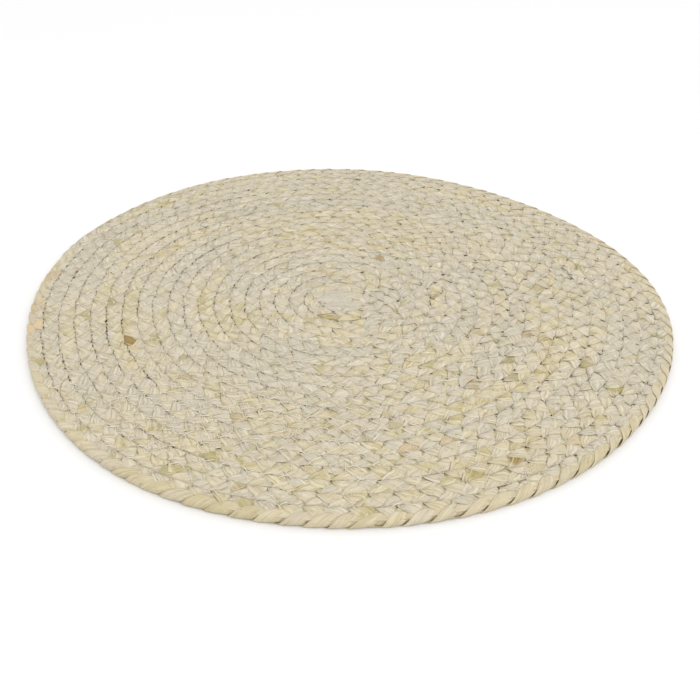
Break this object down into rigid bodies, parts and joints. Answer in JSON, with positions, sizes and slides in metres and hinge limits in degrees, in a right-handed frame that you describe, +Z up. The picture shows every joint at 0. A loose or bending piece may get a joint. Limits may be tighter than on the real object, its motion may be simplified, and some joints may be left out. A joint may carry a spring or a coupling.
{
  "type": "round braided placemat",
  "caption": "Flat round placemat: one plaited leaf-strip braid wound in a spiral and sewn edge to edge, ribbed on top, with a lumpy rim and a tucked-in end.",
  "frame": {"origin": "middle of the mat's box, on the flat underside", "axes": "+Z up out of the mat's upper face, +X to the right and +Y away from a viewer in front; the braid's end is near -X"},
  "size_m": [0.3826, 0.3824, 0.0055],
  "materials": {
    "husk_braid": "matte dried leaf strips, cream to pale straw"
  },
  "bodies": {
    "root": {"braid_coil": "husk_braid"}
  },
  "joints": []
}
